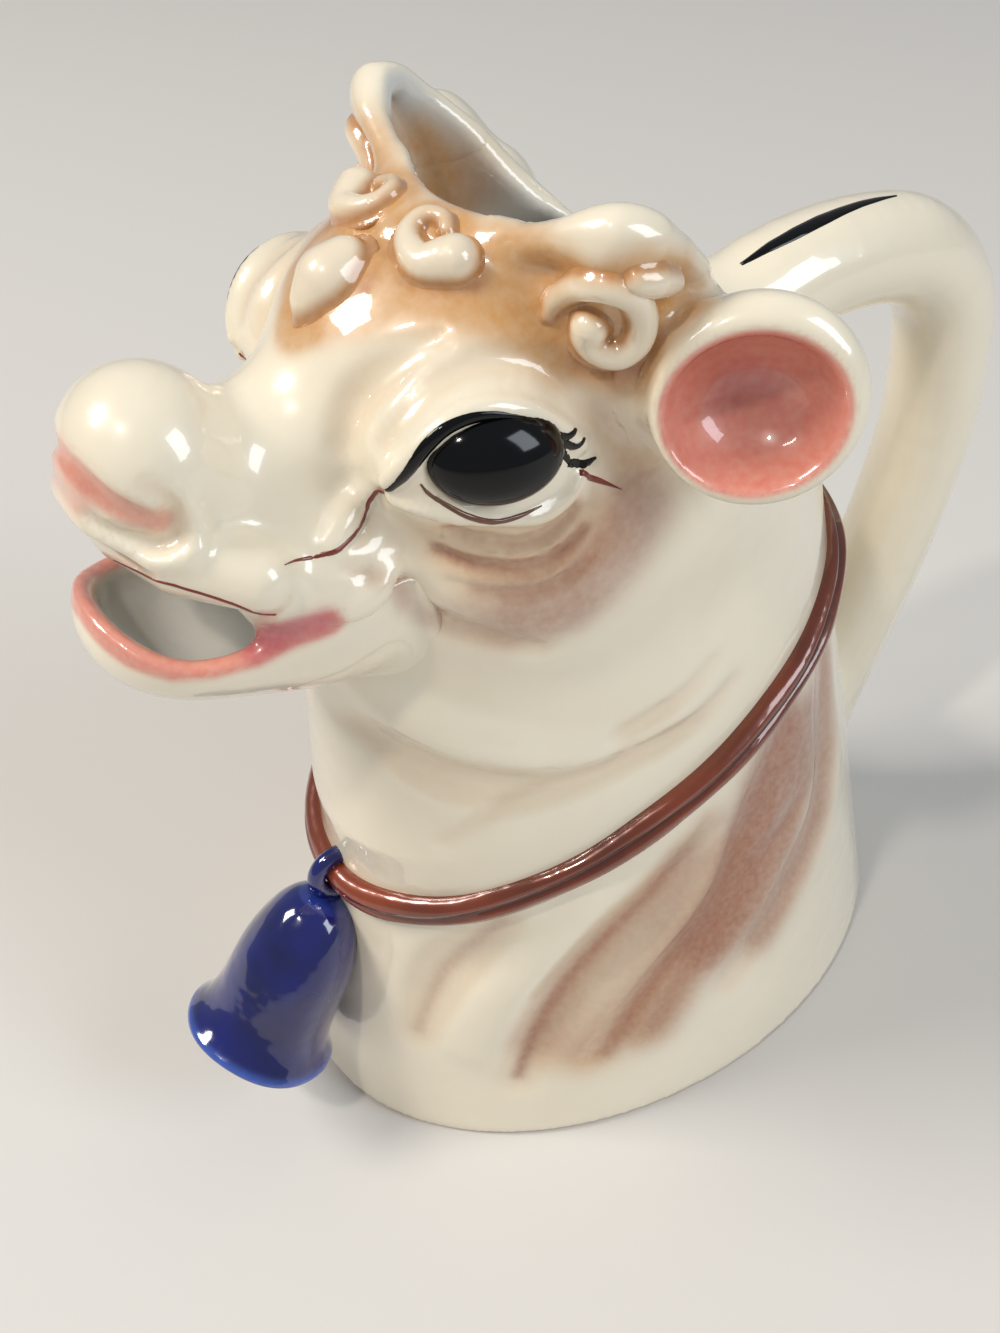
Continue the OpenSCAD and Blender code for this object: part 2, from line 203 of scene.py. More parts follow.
def slope_of(form, points):
    """The direction straight out of a form at each point."""
    q = np.asarray(points, float).reshape(-1, 3)
    steps = 0.05 * np.eye(3)
    g = np.stack([form(columns(q + e)) - form(columns(q - e)) for e in steps], 1)
    return g / (np.linalg.norm(g, axis=1, keepdims=True) + 1e-9)


def smooth_line(points, steps):
    """A line through the points without a corner, with that many steps between two."""
    q = np.array(points, float)
    q = np.vstack([2 * q[0] - q[1], q, 2 * q[-1] - q[-2]])
    out = []
    for a, b, c, d in zip(q[:-3], q[1:-2], q[2:-1], q[3:]):
        for t in np.arange(steps) / steps:
            out.append(0.5 * (2 * b + (c - a) * t + (2 * a - 5 * b + 4 * c - d) * t * t
                              + (3 * b - a - 3 * c + d) * t ** 3))
    return np.array(out + [q[-2]])


def laid(points, form, lift):
    """A line drawn on the skin of a form, then lifted off it or sunk into it."""
    q = smooth_line(points, 4)
    for _ in range(6):
        q = q - form(columns(q))[:, None] * slope_of(form, q)
    return q + lift * slope_of(form, q)


def tapered(line, *sizes):
    """A size for each point of a line, spread from a few sizes."""
    return list(np.interp(np.linspace(0, 1, len(line)), np.linspace(0, 1, len(sizes)), sizes))


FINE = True  # set to False for coarser grids and a quicker build


class Clay:
    """A form on a grid of points that far apart, of the cow's left side only."""

    def __init__(self, low, high, step):
        self.step = step
        # a form on the middle plane is taken a few points past it
        self.low = np.array([-4 * step if low[0] == 0 else low[0], low[1], low[2]], float)
        self.axes = [np.arange(self.low[i], high[i] + step, step) for i in range(3)]
        self.d = None

    def points(self, cut=(slice(None),) * 3):
        """The x, y and z that a form reads, of the whole grid or of a part of it."""
        x, y, z = (self.axes[i][cut[i]] for i in range(3))
        return np.abs(x)[:, None, None], y[None, :, None], z[None, None, :]

    def near(self, points, margin):
        """The part of the grid that lies round some points."""
        q = np.asarray(points)
        lo, hi = q.min(0) - margin, q.max(0) + margin
        return tuple(slice(max(int((lo[i] - self.low[i]) / self.step), 0),
                           max(int((hi[i] - self.low[i]) / self.step) + 2, 1)) for i in range(3))

    def roll(self, line, radii, k):
        """Lays a roll of clay along a line."""
        cut = self.near(line, np.max(radii) + k + 1)
        self.d[cut] = join(self.d[cut], strand(self.points(cut), line, radii), k)

    def press(self, line, radii, k):
        """Presses a groove along a line."""
        cut = self.near(line, np.max(radii) + k + 1)
        self.d[cut] = carve(self.d[cut], strand(self.points(cut), line, radii), k)

    def at(self, points):
        """The distance at any points, from the grid."""
        q = np.asarray(points, float).reshape(-1, 3).copy()
        q[:, 0] = np.abs(q[:, 0])
        g = (q - self.low) / self.step
        i = np.clip(np.floor(g).astype(int), 0, np.array(self.d.shape) - 2)
        f = np.clip(g - i, 0, 1)
        out = 0
        for a in (0, 1):
            for b in (0, 1):
                for c in (0, 1):
                    w = abs(1 - a - f[:, 0]) * abs(1 - b - f[:, 1]) * abs(1 - c - f[:, 2])
                    out = out + w * self.d[i[:, 0] + a, i[:, 1] + b, i[:, 2] + c]
        return out

    def skin(self, both=True):
        """The points and faces of the closed skin, of both sides or of the left alone."""
        d, low = self.d, self.low.copy()
        if both:
            zero = int(round(-low[0] / self.step))
            d = np.concatenate([d[:zero:-1], d[zero:]], 0)
            low[0] = -self.axes[0][-1]
        edge = 3 * self.step
        field = openvdb.FloatGrid()
        field.background = edge
        field.copyFromArray(np.clip(d, -edge, edge).astype(np.float32))
        points, quads = field.convertToQuads(isovalue=0.0)
        return low + points * self.step, quads


# The folds of skin, as lines that are both pressed into the clay and sprayed.
FOLD_1 = [(20.4, -31, 42.5), (17.4, -34.7, 36.6), (15.4, -36.9, 31.8), (14.5, -39, 25.8),
          (14.1, -40.9, 19.9)]
FOLD_2 = [(27.8, -3.2, 50.6), (27.3, -7.7, 45.9), (26.1, -12.4, 40.6), (25.5, -18.2, 35.8),
          (24.7, -22.9, 30.5), (24.4, -26.2, 25.3), (24.1, -29, 19.5), (24.3, -31.4, 12.5)]
FOLD_3 = [(25.2, 11, 57.2), (26.5, 7, 51.2), (26.8, 3.8, 45), (27.8, 0.7, 37.5), (29.4, -4.5, 32),
          (29.8, -10.8, 27.5), (29.5, -16.4, 20.6), (29.2, -19.8, 15)]
FOLD_3B = [(27.1, 13.6, 41.8), (28.9, 7.9, 38.2), (30.3, 2.2, 32.8), (31.1, -3.1, 28.7),
           (31.4, -8.6, 23.4), (31.6, -12.8, 17.6)]
FOLD_4 = [(19.5, 22, 62), (21.2, 22, 51.7), (22.8, 23.4, 42.8), (25.5, 20.8, 35.5),
          (28.5, 14.2, 30.2), (30.7, 6.9, 24.7), (32.5, 0, 19.3)]
RIDGES = (
    [(22.5, -19.5, 44), (21.5, -24.5, 37), (20.5, -29, 31), (19.7, -32.5, 25), (19.2, -35, 18)],
    [(27.4, -2, 44), (27.5, -7.5, 38), (27.6, -13, 31), (27.2, -18.5, 25), (27, -23, 19)])

# The strokes of the airbrush, tan on the ridges and orange-brown in the folds. Each
# is a line, its full half width and its soft edge in millimetres, and how much of
# its colour covers.
TAN = [
    ([(26.2, -10.5, 44), (25.6, -17.5, 37), (25, -22.5, 30), (24.8, -26, 23), (25, -29, 16)],
     0.5, 3.0, 0.45),
    ([(27.5, 0, 42), (28, -6, 35), (28, -12.5, 29), (27.6, -18, 22), (27.5, -22, 16)],
     1.8, 3.2, 0.7),
    ([(29, 3, 36), (30.4, -3, 31), (30.8, -9, 25), (30.9, -14, 18)], 1.5, 3.0, 0.5)]
RUST = [
    (FOLD_2, 0.1, 1.0, 0.75), (FOLD_2[1:-1], 0.8, 2.8, 0.5),
    (RIDGES[1], 1.5, 3.0, 0.35),
    ([(26.6, 13, 48), (28.5, 6, 40), (30.4, -1, 33), (31.2, -8, 26), (31.4, -13, 19)],
     2.4, 3.6, 0.58),
    (FOLD_3, 0.3, 1.7, 0.7), (FOLD_3[:5], 2.6, 3.4, 0.86),
    (FOLD_3B, 0.2, 1.5, 0.5),
    ([(23.6, 17, 54), (25.6, 14.5, 46), (27.6, 10, 39), (29.4, 4.4, 33.6), (30.6, -2.2, 28.4)],
     2.4, 3.4, 0.8),
    (FOLD_4[:6], 1.8, 3.4, 0.76),
    (FOLD_1, 0.0, 1.2, 0.4)]
CORAL, ROSE = [], []  # the neck has none of these, which the head adds


def sprayed(points, strokes):
    """How much of a colour the strokes leave on each point."""
    q = np.column_stack(columns(points))
    bare = np.ones(len(q))
    for line, core, soft, strength in strokes:
        line = np.array(line, float)
        lo, hi = line.min(0) - 3 * soft - core, line.max(0) + 3 * soft + core
        near = ((q > lo) & (q < hi)).all(1)
        if near.any():
            away = np.maximum(strand(tuple(q[near].T), line, 0.0) - core, 0)
            bare[near] *= 1 - strength * np.exp(-(away / soft) ** 2)
    return 1 - bare


def keep(piece, name, values):
    """Keeps a value for each point of a piece, where its glaze reads it."""
    layer = piece.data.attributes.new(name, "FLOAT", "POINT")
    layer.data.foreach_set("value", np.asarray(values, np.float32))


HOLLOW_SHADE_DEEP, HOLLOW_SHADE_MOST = 2.4, 0.22  # painted shade in tan in the hollows of the skin: the depth it scales by, and the most it covers
CURL_RUST = 0.45  # how much of the tan turns orange-brown where it is thick on a curl
INSIDE_SHADE_EDGE = 0.9  # the grey painted shade of the inside fades out over this distance
ON_SKIN = 1.4  # further than this from the inside, a point is on the outer skin


def paint(piece, points, coral=0.0, tan=None):
    """Keeps the airbrushed colours of a piece with painted shade in its hollows, and, from how far
    it is inside the jug, the grey painted shade there.
    """
    p = columns(points)
    inside = hollow_form(p)
    # tan by how deep the outer skin lies under the plain form, as painted shade in its hollows
    hollow_shade = np.clip(-body_form(p) / HOLLOW_SHADE_DEEP, 0, HOLLOW_SHADE_MOST) * (inside > ON_SKIN)
    keep(piece, "tan", np.maximum(sprayed(points, TAN), hollow_shade) if tan is None else tan)
    keep(piece, "rust", sprayed(points, RUST) if tan is None else CURL_RUST * tan ** 3)
    keep(piece, "coral", np.maximum(sprayed(points, CORAL), coral))
    keep(piece, "rose", sprayed(points, ROSE))
    # grey painted shade over the inner wall, fading out at the edges of the openings
    keep(piece, "inside", np.clip((INSIDE_SHADE_EDGE - inside) / INSIDE_SHADE_EDGE, 0, 1))


def linear(text):
    """An sRGB colour in the linear light that a shader reads."""
    s = [int(text[i:i + 2], 16) / 255 for i in (1, 3, 5)]
    return [c / 12.92 if c <= 0.04045 else ((c + 0.055) / 1.055) ** 2.4 for c in s] + [1]


def add(tree, kind, sockets, **settings):
    """A node with its settings, and with a value or a link for each socket."""
    node = tree.nodes.new("ShaderNode" + kind)
    for name, value in settings.items():
        setattr(node, name, value)
    for name, value in sockets.items():
        if isinstance(value, bpy.types.NodeSocket):
            tree.links.new(value, node.inputs[name])
        else:
            node.inputs[name].default_value = value
    return node


# The sizes of the glaze's patterns in millimetres. Its tone clouds over 14 mm where
# it ran, and its surface ripples over 6 mm. An airbrush leaves spatter of about
# 0.2 mm, too fine to show in the render, so it is drawn as specks of 1.1 mm.
CLOUD, RIPPLE, SPATTER = 14.3, 6.25, 1.11
RIPPLE_HIGH = 0.6
MM = 0.001
GLAZE_IOR = 1.5  # of a clear lead-free glaze, as of window glass


def glaze(name, colour, rough, coat=1.0, wave=0.25, mottle=0.05, layers=(), metal=0.0,
          ior=GLAZE_IOR):
    """Colours on clay under a clear gloss glaze, a little uneven in tone and level.

    Wave is how strongly it ripples and mottle how much its tone clouds. A layer is a
    value kept on the points, its colour, and the most that it covers.
    """
    material = bpy.data.materials.new(name)
    material.use_nodes = True
    tree = material.node_tree
    place = add(tree, "TexCoord", {}).outputs["Object"]
    clouds = add(tree, "TexNoise", {"Vector": place, "Scale": 1 / (CLOUD * MM), "Detail": 3.0,
                                    "Roughness": 0.55})
    tone = add(tree, "MapRange", {"Value": clouds.outputs["Fac"], "From Min": 0.3,
                                  "From Max": 0.7, "To Min": 1 - mottle, "To Max": 1.0})
    out = add(tree, "Mix", {0: 1.0, 6: linear(colour), 7: tone.outputs["Result"]},
              data_type="RGBA", blend_type="MULTIPLY").outputs[2]
    for layer, tint, most in layers:
        mask = add(tree, "Attribute", {}, attribute_name=layer)
        specks = add(tree, "TexNoise", {"Vector": place, "Scale": 1 / (SPATTER * MM),
                                        "Detail": 2.0})
        grain = add(tree, "MapRange", {"Value": specks.outputs["Fac"], "From Min": 0.25,
                                       "From Max": 0.75, "To Min": most * 0.82, "To Max": most})
        much = add(tree, "Math", {0: mask.outputs["Fac"], 1: grain.outputs["Result"]},
                   operation="MULTIPLY")
        out = add(tree, "Mix", {0: much.outputs[0], 6: out, 7: linear(tint)},
                  data_type="RGBA").outputs[2]
    ripples = add(tree, "TexNoise", {"Vector": place, "Scale": 1 / (RIPPLE * MM), "Detail": 2.0})
    bump = add(tree, "Bump", {"Strength": wave, "Distance": RIPPLE_HIGH * MM,
                              "Height": ripples.outputs["Fac"]})
    shader = tree.nodes["Principled BSDF"]
    tree.links.new(out, shader.inputs["Base Color"])
    for socket in ("Normal", "Coat Normal"):
        tree.links.new(bump.outputs["Normal"], shader.inputs[socket])
    for socket, value in (("Roughness", rough), ("IOR", ior), ("Metallic", metal),
                          ("Coat Weight", coat), ("Coat Roughness", 0.04), ("Coat IOR", GLAZE_IOR)):
        shader.inputs[socket].default_value = value
    return material


# Cream earthenware under a clear glaze: the eye sees a warm ivory body with soft
# airbrushed colours, a sharp gloss over it, and an unpainted inside greyed by painted shade.
cream = glaze("cream_glaze_over_earthenware", "#f2e7cf", rough=0.3, layers=(
    ("inside", "#d2d3cf", 0.9), ("tan", "#c6841c", 0.9), ("rust", "#914214", 0.92),
    ("coral", "#d8705e", 0.92), ("rose", "#b8405a", 0.8)))


def new_piece(name, points, faces, material, slot, *nodes):
    """A piece of the jug from points in millimetres, and the CAD nodes it stands for."""
    mesh = bpy.data.meshes.new(name)
    mesh.from_pydata((np.asarray(points) * MM).tolist(), [], [list(f) for f in faces])
    mesh.update()
    mesh.shade_smooth()
    mesh.materials.append(material)
    piece = bpy.data.objects.new(name, mesh)
    bpy.context.collection.objects.link(piece)
    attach(piece, "root")
    if nodes:
        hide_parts(*nodes)
    return piece


def glazed(name, points, faces, node, slot="cream_glaze", coral=0.0, tan=None):
    """A piece in the cream glaze with its airbrushed colours."""
    paint(new_piece(name, points, faces, cream, slot, node), points, coral, tan)


FOOT_EDGE, CUT_EDGE = 1.4, 0.6
RIDGE_RADII, RIDGE_SUNK = (4.0, 5.0, 4.0), 4.4
RIDGE_FILLET, FOLD_FILLET = 3.0, 3.4
FOLD_TAPER = (0.6, 1, 0.9, 0.6)

clay = Clay((0, -52, -2.8), (38, 52, 78), 0.76 if FINE else 1.0)
p = clay.points()
clay.d = carve(whole_form(p), p[2], FOOT_EDGE)
for line in RIDGES:
    on = laid(line, whole_form, -RIDGE_SUNK)
    clay.roll(on, tapered(on, *RIDGE_RADII), RIDGE_FILLET)
# each fold with the radius of its groove and its lift off the skin
for line, radius, lift in ((FOLD_1, 4.0, 2.5), (FOLD_2, 4.2, 2.7), (FOLD_2, 1.5, 0.3),
                           (FOLD_3, 4.0, 2.7), (FOLD_3B, 3.4, 2.6), (FOLD_4, 4.5, 3.2)):
    on = laid(line, whole_form, lift)
    radii = tapered(on, *(radius * share for share in FOLD_TAPER))
    clay.press(on, radii, min(radius, FOLD_FILLET))
clay.d = carve(clay.d, hollow_form(p), CUT_EDGE)
clay.d = np.maximum(clay.d, collar_side(p))
glazed("neck", *clay.skin(), "neck_shell")


# Head
#
# The head is slip-cast in the same earthenware, and cut open at the crown and the
# mouth. Lids, brows, nostrils and wrinkles come from the mould, and the colours are
# airbrushed on under the same clear glaze.

# Lines that are both modelled and sprayed: the edge of the hair, the curls and the
# wrinkles of the face.
HAIR = [(0, -37.5, 122.5), (3.4, -37.4, 122.7), (6.8, -34.9, 124), (8.4, -31.6, 125.4),
        (12.9, -26.9, 125.3), (17.9, -21.4, 122.1), (19.6, -19.1, 120), (21.5, -14.5, 117.5),
        (20.7, -7, 118.5)]
SPIRAL = [(16.9, -20.9, 124.6), (17.1, -20, 126), (18.7, -19.4, 127.6), (20.6, -18.9, 128.8),
          (22.3, -17.8, 129.1), (23.2, -16.1, 127.9), (23.2, -14.9, 125.4), (22.7, -14.9, 122.8),
          (21.8, -16.2, 121.4), (20.7, -17.7, 121.7), (20.1, -18.6, 122.9), (20.3, -18.5, 124.2)]
RING = [(9, -25.9, 128.1), (7.1, -28.1, 127.5), (4.3, -27.9, 128.2), (3.1, -26.8, 129.6),
        (3.3, -25.2, 130.3), (4.9, -24.4, 130.3), (6.2, -24.9, 129.8)]
KNOB = [(23.6, -16.2, 130), (24, -14.4, 129.2), (23.4, -12, 128)]
LID_WRINKLE = [(18.9, -33.7, 106.6), (19.2, -32, 105), (20.2, -30.3, 104.2), (21.1, -28, 103.4),
               (21.9, -25.3, 103.5), (22.3, -23.1, 104.7), (22.3, -21.4, 106)]
EYE_WRINKLE = [(16.1, -33.7, 102.7), (17.9, -32.5, 101.9), (19.4, -31.1, 101.3),
               (20.7, -29.3, 100.9), (21.9, -27.1, 100.6), (22.6, -24.8, 101), (22.4, -22.6, 102),
               (22.3, -20.7, 103.3)]
CHEEK_WRINKLE = [(17.4, -33.5, 99.2), (19.7, -31.4, 98.6), (21.5, -29, 98), (22.6, -26.4, 97.7),
                 (23.2, -23.7, 98.3), (23.2, -21.2, 99.6), (23.3, -19.1, 101.9)]
CHEEK_FOLD = [(14.7, -37.6, 98.7), (14.4, -37, 96.2), (15.3, -35.8, 94.2), (17.5, -34.2, 93.1),
              (19.7, -32, 92.1), (21.3, -29, 90.7), (22.3, -25.6, 88.8)]
MOUTH_CORNER = [(15, -43.8, 103.6), (15.9, -41.4, 102.2), (15.1, -38.5, 99.5), (14.5, -37.9, 96.5),
                (12, -37.5, 92)]
THROAT_FOLD = [(15.1, -35.1, 58), (18.5, -29.1, 63.7), (21.1, -22.2, 66.1), (24.3, -12.7, 66.6),
               (25.1, -4.2, 68.3), (24.5, 1.5, 71.4)]
LIP_EDGE = [(0, -66, 99.6), (3.6, -65.8, 98.9), (7.3, -64.4, 97.6), (9.8, -61.3, 96.4),
            (11.2, -57.6, 95.9), (12.4, -53.7, 96.2), (13.8, -50.2, 97.8), (15.3, -46.4, 98.5)]

TAN += [
    # beside the eye, over the forehead and along the edge of the hair
    ([(17.5, -33, 104.5), (20, -30.6, 101.5), (22.3, -25.6, 101.2), (22.8, -20.6, 103)],
     1.8, 2.8, 0.5),
    ([(0, -30, 128), (9, -29, 127.5), (14, -23, 126), (19.5, -16.5, 123.5), (20, -9, 121)],
     3.0, 3.2, 0.62),
    ([(0, -24, 130.5), (9, -24, 131), (15, -21.5, 130.5)], 1.0, 2.5, 0.4),
    (HAIR, 0.3, 1.7, 0.75),
    # between the curls
    ([(4.4, -33.5, 126.2), (4.6, -32, 127.6), (3.4, -30.5, 129)], 0.6, 1.3, 0.9),
    ([(4.2, -35.5, 124.6), (2, -37.4, 123.2), (0, -37.6, 122.8)], 0.6, 1.5, 0.85),
    ([(9.3, -26.8, 127.7), (4, -28.5, 128.8), (0, -29.9, 128.6)], 0.3, 1.4, 0.85),
    ([(10.9, -26.7, 126.9), (9.6, -29.2, 126.6), (7.5, -30.8, 127.4), (5.2, -30.2, 129.0)],
     0.3, 1.3, 0.8),
    ([(12.8, -24.6, 126.5), (14.8, -22.6, 125.7), (17.2, -21.5, 123.4)], 0.5, 1.8, 0.8),
    ([(19.5, -20.5, 120.5), (21.6, -17.5, 119.3), (22.2, -14.2, 119.6), (21.8, -11, 120.6)],
     0.8, 1.6, 0.95),
    ([(16.2, -20.5, 126.5), (19.2, -16, 126.6), (20.4, -11.5, 125), (20.2, -8.6, 122)],
     0.4, 1.5, 0.5),
    ([(10.8, -22.9, 129.3), (15.6, -21, 130), (19, -20, 130.4)], 0.8, 1.8, 0.55),
    ([(22.6, -10.4, 126), (22.4, -8.6, 122.6), (22.6, -11.2, 119.6)], 1.2, 1.8, 0.8),
    # under the curls
    (SPIRAL, 1.7, 1.1, 0.9), (RING, 2.0, 1.2, 0.85), (KNOB, 1.8, 1.6, 0.85),
    ([(0, -33.4, 127.2), (0, -37.4, 122)], 3.2, 1.1, 0.8)]
RUST += [
    # in the turns of the curls
    ([(19.6, -19, 120.6), (21.4, -16.6, 119.2), (22.7, -13.8, 119.8), (23.4, -12.4, 122.4)],
     0.3, 1.0, 0.7),
    ([(19.6, -17.4, 125.6), (20.8, -16.8, 125.4), (21, -17, 124.2)], 0.1, 0.7, 0.6),
    ([(11.6, -25.6, 126.8), (9.6, -28.4, 126.2), (7, -30, 126.6)], 0.1, 0.9, 0.5),
    ([(4.5, -33.5, 125.6), (4.3, -32.6, 127.2)], 0.2, 0.8, 0.5),
    # in the wrinkles of the face
    (LID_WRINKLE, 0.15, 0.7, 0.7),
    (EYE_WRINKLE, 0.2, 0.8, 0.8),
    (CHEEK_WRINKLE[1:-1], 0.1, 0.9, 0.4),
    (CHEEK_FOLD[:-1], 0.2, 1.5, 0.4),
    (MOUTH_CORNER[1:-1], 0.2, 1.0, 0.4),
    # the faint orange-brown in the throat fold is painted shade
    (THROAT_FOLD[1:-1], 0.0, 1.0, 0.15),
    # over the cheek and behind the eye
    ([(22.1, -27, 95.3), (23.4, -22.9, 95.5), (24.1, -19.6, 97.1), (24.1, -16.5, 99.6),
      (23.6, -14.3, 102.9)], 1.6, 3.6, 0.62),
    ([(19.1, -32.4, 95.5), (21.3, -29.6, 94), (23, -25.7, 92.9), (23.9, -21.9, 93.7)],
     0.8, 2.4, 0.35),
    ([(23.2, -21.2, 99.6), (23.6, -16.8, 101.6), (22.6, -14, 106.3)], 0.6, 2.6, 0.4),
    ([(20.5, -17.3, 114.8), (21.5, -14.7, 109.7)], 0.2, 2.6, 0.3)]
CORAL += [
    # in the nostrils, between them, and along the lower lip
    ([(0, -64.2, 117.4), (3.2, -63.4, 116.3), (5.5, -62.7, 114.8), (7.4, -60.9, 113.2),
      (8.6, -58.7, 111.9)], 0.8, 0.7, 0.75),
    ([(0, -65.2, 115), (3, -64.5, 114.2)], 1.2, 0.9, 0.55),
    (LIP_EDGE, 1.25, 0.55, 0.95)]
ROSE += [([(12.2, -53.2, 96.6), (13.8, -50, 98), (15, -47, 98.8)], 0.7, 1.2, 0.8)]

# The socket of the eye, then grooves and rolls in the order in which they are made,
# each a line with its radius, its lift off the skin and its fillet.
EYE = np.array((20.5, -29.5, 114.3))
EYE_TURN = (Matrix.Rotation(math.radians(-14.3), 3, "Z")
            @ Matrix.Rotation(math.radians(-21), 3, "Y")
            @ Matrix.Rotation(math.radians(-6), 3, "X"))
EYE_AXES = np.array(EYE_TURN).T
SOCKET = (3.3, 7.2, 5.2)
SOCKET_OUT, SOCKET_ROUND = 1.6, 0.8
CUT_ROUND = 1.4
GROOVES = (
    # from the bridge up the brow, and over the eye to the ear
    ([(9.3, -39.5, 113.9), (9.1, -38.3, 116.2), (9.7, -37, 118.2), (10.9, -35.4, 120.1),
      (12.1, -33.2, 121.8), (13.3, -30.6, 123.1)], 1.9, 0.9, 1.8),
    ([(15, -38.2, 116), (15.8, -36.7, 118.8), (15.8, -33.2, 120.9), (16.4, -29.1, 121.9),
      (17.8, -24.7, 121.4), (19.4, -20.7, 118.6), (20.5, -17.3, 114.4), (21.5, -14.7, 109.7)],
     1.4, 0.65, 1.4),
    # under the eye and on the cheek
    (LID_WRINKLE, 1.1, 0.1, 0.6),
    (EYE_WRINKLE, 1.2, 0.1, 0.6),
    (CHEEK_WRINKLE, 1.1, 0.3, 0.7),
    (CHEEK_FOLD, 1.8, 0.7, 1.6),
    # from the eye's corner along the muzzle, and at the mouth's corner
    ([(15.7, -39, 111.4), (13.5, -39.2, 109), (11.9, -39.4, 107.1), (13, -40.5, 105.8),
      (13.4, -42.2, 105.3), (13.6, -43.9, 105.2), (13.4, -45.8, 105.4)], 0.75, 0.15, 0.6),
    (MOUTH_CORNER, 0.9, 0.3, 0.8),
    ([(14.5, -43.9, 104.6), (15.2, -42.1, 102.7), (16.4, -40.3, 101.6)], 0.6, 0.2, 0.5),
    # the nostril
    ([(0, -64.6, 117.4), (3.2, -63.4, 116.5), (5.5, -62.7, 115), (7.4, -60.9, 113.4),
      (8.6, -58.7, 112), (8.9, -57.2, 110.7)], 1.4, 0.45, 0.9),
    # the throat
    (THROAT_FOLD, 1.8, 1.1, 1.6),
    ([(16.8, -30.7, 66.6), (20.2, -23, 68.4), (23.1, -14.9, 70.3), (24.3, -7, 72.7),
      (24, -1.7, 76)], 1.5, 1.0, 1.4),
    # behind the middle curl and below the spiral
    ([(9.3, -26.8, 127.7), (4, -28.5, 128.6), (0, -29.9, 128.3)], 1.2, 0.5, 1.2),
    ([(19, -21.2, 121.3), (21, -18.3, 119.6), (22, -14.8, 119.4), (21.6, -11, 120.4)],
     1.2, 0.5, 1.0))
ROLLS = (
    # the upper and the lower lid
    ([(16.4, -39, 113), (18.3, -37.9, 115.7), (19.4, -36, 118.2), (20.3, -33.3, 120),
      (21.2, -30, 120.3), (21.9, -26, 118.7), (21.8, -22.6, 115.6), (21.2, -19.8, 112)],
     1.3, 0.15, 0.9),
    ([(16.3, -38.8, 111), (18.6, -37, 110.6), (20.6, -34, 109.3), (21.8, -30, 107.6),
      (21.9, -25.6, 106.4), (21.7, -22.3, 107), (21.4, -20.2, 108.6)], 1.0, 0.1, 0.8),
    # the nostril's wing, the upper lip, the jowl, and the mouth's corner
    ([(10, -57.6, 115), (10.6, -56.2, 112.4), (10.8, -56.3, 110.2), (10.4, -58, 108.6),
      (8.5, -60.4, 108.8)], 1.3, -0.1, 1.0),
    ([(0, -65.3, 111.4), (3.7, -64.4, 111), (6.8, -62.2, 109.6), (8.6, -59, 107.8)],
     1.6, -0.5, 1.4),
    ([(7.1, -40.6, 81), (10.3, -38.5, 78.9), (13.1, -36.1, 75.9), (16.3, -32.5, 73),
      (19, -28.4, 71), (20.8, -23.6, 69.3), (22.3, -18.4, 69)], 4.0, -3.1, 3.0),
    ([(15.7, -44.8, 99), (16.4, -41.5, 99.6), (16.6, -38.8, 101.8)], 1.6, -0.4, 1.3),
    ([(14.8, -44.5, 107.2), (13.2, -42, 108.4), (13, -40.6, 109.4)], 1.5, -0.4, 1.3))
LATE_GROOVES = (
    # round the nostril's wing, and under the jowl
    ([(8.4, -59.2, 116.3), (9.4, -57.9, 114.8), (9.8, -57.6, 112.8), (9.6, -58.2, 110.9),
      (8.6, -59.9, 110), (6.6, -61.9, 110.9), (4.2, -63.4, 112.6)], 1.2, 0.35, 0.8),
    ([(3.3, -42.2, 73), (7.5, -40.7, 73.4), (11.4, -38.4, 70.8), (14.9, -35.3, 68.6),
      (17.9, -31.3, 67), (20, -26.7, 65.6), (22, -21.4, 65.3), (23.4, -15.4, 65.7)], 3.6, 2.2, 2.0))

clay = Clay((0, -70, 34), (29, 38, 139), 0.66 if FINE else 0.8)
p = clay.points()
clay.d = body_form(p)
cut = clay.near([EYE], 9)
socket = egg(clay.points(cut), EYE + SOCKET_OUT * EYE_AXES[0], SOCKET, EYE_AXES)
clay.d[cut] = carve(clay.d[cut], socket, SOCKET_ROUND)
# each tool with how thin its strokes begin and end
for lines, tool, first, last in ((GROOVES, clay.press, 0.55, 0.5), (ROLLS, clay.roll, 0.7, 0.7),
                                 (LATE_GROOVES, clay.press, 0.5, 0.5)):
    for line, radius, lift, fillet in lines:
        on = laid(line, body_form, lift)
        tool(on, tapered(on, radius * first, radius, radius, radius * last), fillet)
clay.d = carve(clay.d, hollow_form(p), CUT_ROUND)
clay.d = np.maximum(clay.d, -collar_side(p))
head_clay = clay
glazed("head", *clay.skin(), "head_shell")


# Lower jaw
#
# The lower lip and jaw, a rolled edge round a deep spout. It is cast by itself in
# earthenware and luted under the cheeks with slip, with the joint smoothed over.
LIP_HIGH, LIP_RISE, LIP_ROUND = 95.8, 4.4, 1.6
JAW_FILLET, JAW_REACH = 4.0, 3.6
JAW_BEHIND = 0.06  # its inside lies this far behind the head's
SUNK = 0.12  # a luted piece that runs out on the skin stays this far under it


def jaw_form(p):
    d = egg(p, (0, -53.5, 95.5), (13.2, 13.6, 9.8))
    d = join(d, egg(p, (0, -41.5, 93), (14.6, 12.1, 11.3)), 8)
    edge = LIP_HIGH + LIP_RISE * np.clip((-58 - p[1]) / 8, 0, 1) ** 2
    return carve(d, edge - p[2], LIP_ROUND)


clay = Clay((0, -70, 78), (20, -24, 106), 0.45 if FINE else 0.7)
p = clay.points()
own = jaw_form(p)
d = np.maximum(join(own, body_form(p) + SUNK, JAW_FILLET), own - JAW_REACH)
clay.d = carve(d, hollow_form(p) - JAW_BEHIND, LIP_ROUND)
glazed("jaw", *clay.skin(), "lower_jaw", slot="coral_glaze")


